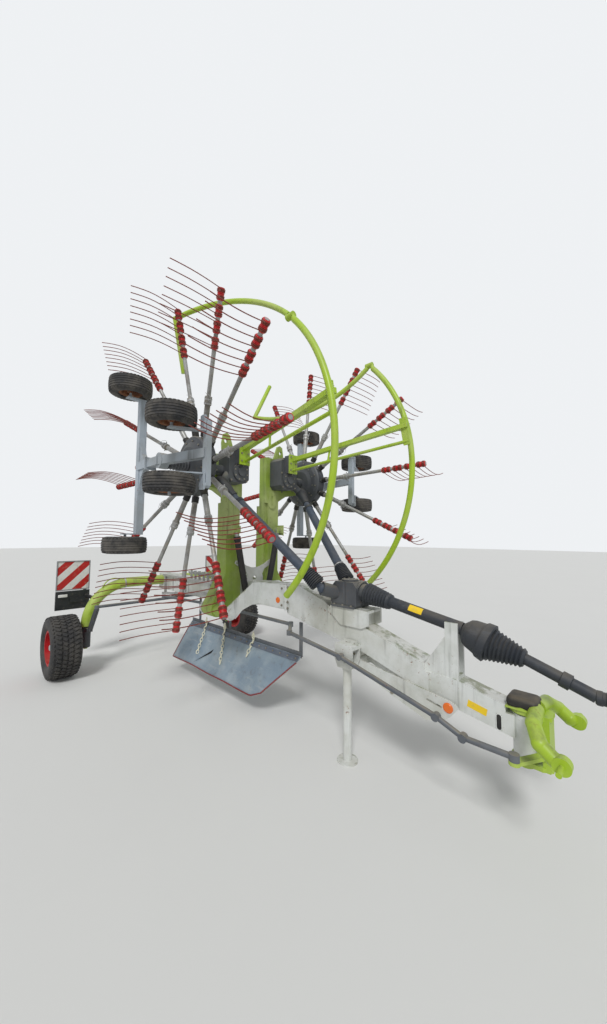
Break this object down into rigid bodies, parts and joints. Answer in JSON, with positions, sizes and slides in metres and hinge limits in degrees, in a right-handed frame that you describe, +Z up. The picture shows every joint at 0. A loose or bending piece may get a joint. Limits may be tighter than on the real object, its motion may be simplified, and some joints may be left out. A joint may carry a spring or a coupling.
{
  "type": "twin-rotor rotary hay rake",
  "caption": "Trailed twin-rotor hay rake folded for the road: tined rotors on pivoting arms, steered portal axle, central beam, guard hoops, curtain and a parking stand.",
  "frame": {"origin": "middle of the bounding box, on the ground", "axes": "+X forward along the beam to the hitch, +Y to the left, +Z up"},
  "size_m": [5.87, 3.14, 4.2106],
  "materials": {
    "white_paint": "worn gloss white",
    "green_paint": "faded lime green",
    "grey_paint": "dusty light grey",
    "dark_paint": "matt dark grey",
    "red_paint": "bright red",
    "zinc": "dull zinc coat",
    "red_wire": "red holders with brown wires",
    "chrome_rod": "polished",
    "tyre_rubber": "dusty black",
    "sheet_grey": "grey coated cloth with a red-brown hem",
    "board_red_white": "red and white diagonal stripes"
  },
  "bodies": {
    "chassis": {"main_beam": "white_paint", "centre_gearbox": "dark_paint", "pto_shaft": "dark_paint", "rear_axle": "green_paint", "warning_boards": "board_red_white", "curtain_strip": "dark_paint", "curtain": "sheet_grey", "stow_rack": "zinc"},
    "headstock": {"headstock": "green_paint"},
    "steering_rod": {"steering_rod": "zinc"},
    "steer_lever": {"steer_lever": "dark_paint"},
    "track_rod": {"track_rod": "zinc"},
    "stand_leg": {"stand_leg": "white_paint"},
    "knuckle_left": {"knuckle_left": "dark_paint"},
    "rear_wheel_left": {"rear_tyre_left": "tyre_rubber", "rear_rim_left": "red_paint"},
    "rotor_frame_left": {"rotor_arm_left": "green_paint", "rotor_gearbox_left": "dark_paint", "carriage_left": "grey_paint", "hoop_left": "green_paint"},
    "rotor_left": {"drum_left": "dark_paint", "tine_arms_left": "zinc", "tines_left": "red_wire"},
    "hoop_end_left": {"hoop_end_left": "green_paint"},
    "back_wheel_low_left": {"back_wheel_low_left": "tyre_rubber"},
    "castor_low_left": {"castor_low_left": "grey_paint"},
    "castor_wheel_low_left": {"castor_wheel_low_left": "tyre_rubber"},
    "back_wheel_high_left": {"back_wheel_high_left": "tyre_rubber"},
    "castor_high_left": {"castor_high_left": "grey_paint"},
    "castor_wheel_high_left": {"castor_wheel_high_left": "tyre_rubber"},
    "fold_barrel_left": {"fold_barrel_left": "dark_paint"},
    "fold_rod_left": {"fold_rod_left": "chrome_rod"},
    "drive_tube_left": {"drive_tube_left": "dark_paint"},
    "drive_sleeve_left": {"drive_sleeve_left": "dark_paint"},
    "knuckle_right": {"knuckle_right": "dark_paint"},
    "rear_wheel_right": {"rear_tyre_right": "tyre_rubber", "rear_rim_right": "red_paint"},
    "rotor_frame_right": {"rotor_arm_right": "green_paint", "rotor_gearbox_right": "dark_paint", "carriage_right": "grey_paint", "hoop_right": "green_paint"},
    "rotor_right": {"drum_right": "dark_paint", "tine_arms_right": "zinc", "tines_right": "red_wire"},
    "hoop_end_right": {"hoop_end_right": "green_paint"},
    "back_wheel_low_right": {"back_wheel_low_right": "tyre_rubber"},
    "castor_low_right": {"castor_low_right": "grey_paint"},
    "castor_wheel_low_right": {"castor_wheel_low_right": "tyre_rubber"},
    "back_wheel_high_right": {"back_wheel_high_right": "tyre_rubber"},
    "castor_high_right": {"castor_high_right": "grey_paint"},
    "castor_wheel_high_right": {"castor_wheel_high_right": "tyre_rubber"},
    "fold_barrel_right": {"fold_barrel_right": "dark_paint"},
    "fold_rod_right": {"fold_rod_right": "chrome_rod"},
    "drive_tube_right": {"drive_tube_right": "dark_paint"},
    "drive_sleeve_right": {"drive_sleeve_right": "dark_paint"}
  },
  "joints": [
    {"name": "headstock_yaw", "type": "hinge", "parent": "chassis", "child": "headstock", "pos_m": [2.505, 0, 0.62], "axis": [0, 0, 1], "range_deg": [-40, 40]},
    {"name": "steering_rod_slide", "type": "slide", "parent": "chassis", "child": "steering_rod", "axis": [1, 0, 0], "range_m": [-0.1681, 0.1681]},
    {"name": "steer_lever_turn", "type": "hinge", "parent": "chassis", "child": "steer_lever", "pos_m": [-2.105, 0, 0.9], "axis": [0, 0, 1], "range_deg": [-48.1, 48.1]},
    {"name": "track_rod_slide", "type": "slide", "parent": "chassis", "child": "track_rod", "axis": [0, 1, 0], "range_m": [-0.0826, 0.0826]},
    {"name": "stand_leg_swing", "type": "hinge", "parent": "chassis", "child": "stand_leg", "pos_m": [1.265, -0.165, 0.79], "axis": [0, 1, 0], "range_deg": [0, 75]},
    {"name": "knuckle_steer_left", "type": "hinge", "parent": "chassis", "child": "knuckle_left", "pos_m": [-2.415, 1.12, 0.45], "axis": [0, 0, 1], "range_deg": [-24.3, 24.3]},
    {"name": "rear_wheel_spin_left", "type": "hinge", "parent": "knuckle_left", "child": "rear_wheel_left", "pos_m": [-2.415, 1.4, 0.39], "axis": [0, 1, 0], "continuous": true},
    {"name": "fold_left", "type": "hinge", "parent": "chassis", "child": "rotor_frame_left", "pos_m": [-0.165, 0.47, 1.035], "axis": [-1, 0, 0], "range_deg": [0, 90]},
    {"name": "rotor_spin_left", "type": "hinge", "parent": "rotor_frame_left", "child": "rotor_left", "pos_m": [-0.165, 0.8, 2.53], "axis": [0, 1, 0], "continuous": true},
    {"name": "hoop_end_fold_left", "type": "hinge", "parent": "rotor_frame_left", "child": "hoop_end_left", "pos_m": [1.00173, 0.6, 3.69673], "axis": [-1, 0, 0], "range_deg": [0, 165]},
    {"name": "back_wheel_low_left_spin", "type": "hinge", "parent": "rotor_frame_left", "child": "back_wheel_low_left", "pos_m": [-0.615, 1.3, 1.73], "axis": [0, 0, 1], "continuous": true},
    {"name": "castor_low_left_swivel", "type": "hinge", "parent": "rotor_frame_left", "child": "castor_low_left", "pos_m": [0.435, 1.3, 2.245], "axis": [0, 1, 0], "range_deg": [-40, 40]},
    {"name": "castor_wheel_low_left_spin", "type": "hinge", "parent": "castor_low_left", "child": "castor_wheel_low_left", "pos_m": [0.325, 1.3, 2.245], "axis": [0, 0, 1], "continuous": true},
    {"name": "back_wheel_high_left_spin", "type": "hinge", "parent": "rotor_frame_left", "child": "back_wheel_high_left", "pos_m": [-0.615, 1.3, 3.33], "axis": [0, 0, 1], "continuous": true},
    {"name": "castor_high_left_swivel", "type": "hinge", "parent": "rotor_frame_left", "child": "castor_high_left", "pos_m": [0.435, 1.3, 2.815], "axis": [0, 1, 0], "range_deg": [-40, 40]},
    {"name": "castor_wheel_high_left_spin", "type": "hinge", "parent": "castor_high_left", "child": "castor_wheel_high_left", "pos_m": [0.325, 1.3, 2.815], "axis": [0, 0, 1], "continuous": true},
    {"name": "fold_barrel_turn_left", "type": "hinge", "parent": "chassis", "child": "fold_barrel_left", "pos_m": [-0.147, 0.15, 1.15], "axis": [-1, 0, 0], "range_deg": [-0.1, 75.88]},
    {"name": "fold_rod_slide_left", "type": "slide", "parent": "fold_barrel_left", "child": "fold_rod_left", "axis": [0, 0.2086, 0.978], "range_m": [-0.001, 0.42]},
    {"name": "drive_tube_turn_left", "type": "hinge", "parent": "chassis", "child": "drive_tube_left", "pos_m": [1.015, 0.2, 1.365], "axis": [-0.9878, 0.0934, -0.1247], "range_deg": [-0.1, 86.96]},
    {"name": "drive_sleeve_slide_left", "type": "slide", "parent": "drive_tube_left", "child": "drive_sleeve_left", "axis": [-0.6957, 0.2588, 0.6701], "range_m": [-0.001, 0.4676]},
    {"name": "knuckle_steer_right", "type": "hinge", "parent": "chassis", "child": "knuckle_right", "pos_m": [-2.415, -1.12, 0.45], "axis": [0, 0, 1], "range_deg": [-24.3, 24.3]},
    {"name": "rear_wheel_spin_right", "type": "hinge", "parent": "knuckle_right", "child": "rear_wheel_right", "pos_m": [-2.415, -1.4, 0.39], "axis": [0, 1, 0], "continuous": true},
    {"name": "fold_right", "type": "hinge", "parent": "chassis", "child": "rotor_frame_right", "pos_m": [-0.165, -0.47, 1.035], "axis": [1, 0, 0], "range_deg": [0, 90]},
    {"name": "rotor_spin_right", "type": "hinge", "parent": "rotor_frame_right", "child": "rotor_right", "pos_m": [-0.165, -0.8, 2.53], "axis": [0, 1, 0], "continuous": true},
    {"name": "hoop_end_fold_right", "type": "hinge", "parent": "rotor_frame_right", "child": "hoop_end_right", "pos_m": [1.00173, -0.6, 3.69673], "axis": [1, 0, 0], "range_deg": [-165, 0]},
    {"name": "back_wheel_low_right_spin", "type": "hinge", "parent": "rotor_frame_right", "child": "back_wheel_low_right", "pos_m": [-0.615, -1.3, 1.73], "axis": [0, 0, 1], "continuous": true},
    {"name": "castor_low_right_swivel", "type": "hinge", "parent": "rotor_frame_right", "child": "castor_low_right", "pos_m": [0.435, -1.3, 2.245], "axis": [0, 1, 0], "range_deg": [-40, 40]},
    {"name": "castor_wheel_low_right_spin", "type": "hinge", "parent": "castor_low_right", "child": "castor_wheel_low_right", "pos_m": [0.325, -1.3, 2.245], "axis": [0, 0, 1], "continuous": true},
    {"name": "back_wheel_high_right_spin", "type": "hinge", "parent": "rotor_frame_right", "child": "back_wheel_high_right", "pos_m": [-0.615, -1.3, 3.33], "axis": [0, 0, 1], "continuous": true},
    {"name": "castor_high_right_swivel", "type": "hinge", "parent": "rotor_frame_right", "child": "castor_high_right", "pos_m": [0.435, -1.3, 2.815], "axis": [0, 1, 0], "range_deg": [-40, 40]},
    {"name": "castor_wheel_high_right_spin", "type": "hinge", "parent": "castor_high_right", "child": "castor_wheel_high_right", "pos_m": [0.325, -1.3, 2.815], "axis": [0, 0, 1], "continuous": true},
    {"name": "fold_barrel_turn_right", "type": "hinge", "parent": "chassis", "child": "fold_barrel_right", "pos_m": [-0.147, -0.15, 1.15], "axis": [1, 0, 0], "range_deg": [-0.1, 75.88]},
    {"name": "fold_rod_slide_right", "type": "slide", "parent": "fold_barrel_right", "child": "fold_rod_right", "axis": [0, -0.2086, 0.978], "range_m": [-0.001, 0.42]},
    {"name": "drive_tube_turn_right", "type": "hinge", "parent": "chassis", "child": "drive_tube_right", "pos_m": [1.015, -0.2, 1.365], "axis": [0.9878, 0.0934, 0.1247], "range_deg": [-0.1, 86.96]},
    {"name": "drive_sleeve_slide_right", "type": "slide", "parent": "drive_tube_right", "child": "drive_sleeve_right", "axis": [-0.6957, -0.2588, 0.6701], "range_m": [-0.001, 0.4676]}
  ],
  "couplings": [
    {"joint": "steering_rod_slide", "follows": "headstock_yaw", "m_per_rad": 0.2394},
    {"joint": "steer_lever_turn", "follows": "headstock_yaw", "ratio": 1.1969},
    {"joint": "track_rod_slide", "follows": "headstock_yaw", "m_per_rad": -0.1169},
    {"joint": "knuckle_steer_left", "follows": "headstock_yaw", "ratio": -0.6019},
    {"joint": "fold_barrel_turn_left", "follows": "fold_left", "ratio": 0.842},
    {"joint": "fold_rod_slide_left", "follows": "fold_left", "m_per_rad": 0.2667},
    {"joint": "drive_tube_turn_left", "follows": "fold_left", "ratio": 0.9651},
    {"joint": "drive_sleeve_slide_left", "follows": "fold_left", "m_per_rad": 0.2971},
    {"joint": "knuckle_steer_right", "follows": "headstock_yaw", "ratio": -0.6019},
    {"joint": "fold_barrel_turn_right", "follows": "fold_right", "ratio": 0.842},
    {"joint": "fold_rod_slide_right", "follows": "fold_right", "m_per_rad": 0.2667},
    {"joint": "drive_tube_turn_right", "follows": "fold_right", "ratio": 0.9651},
    {"joint": "drive_sleeve_slide_right", "follows": "fold_right", "m_per_rad": 0.2971}
  ]
}
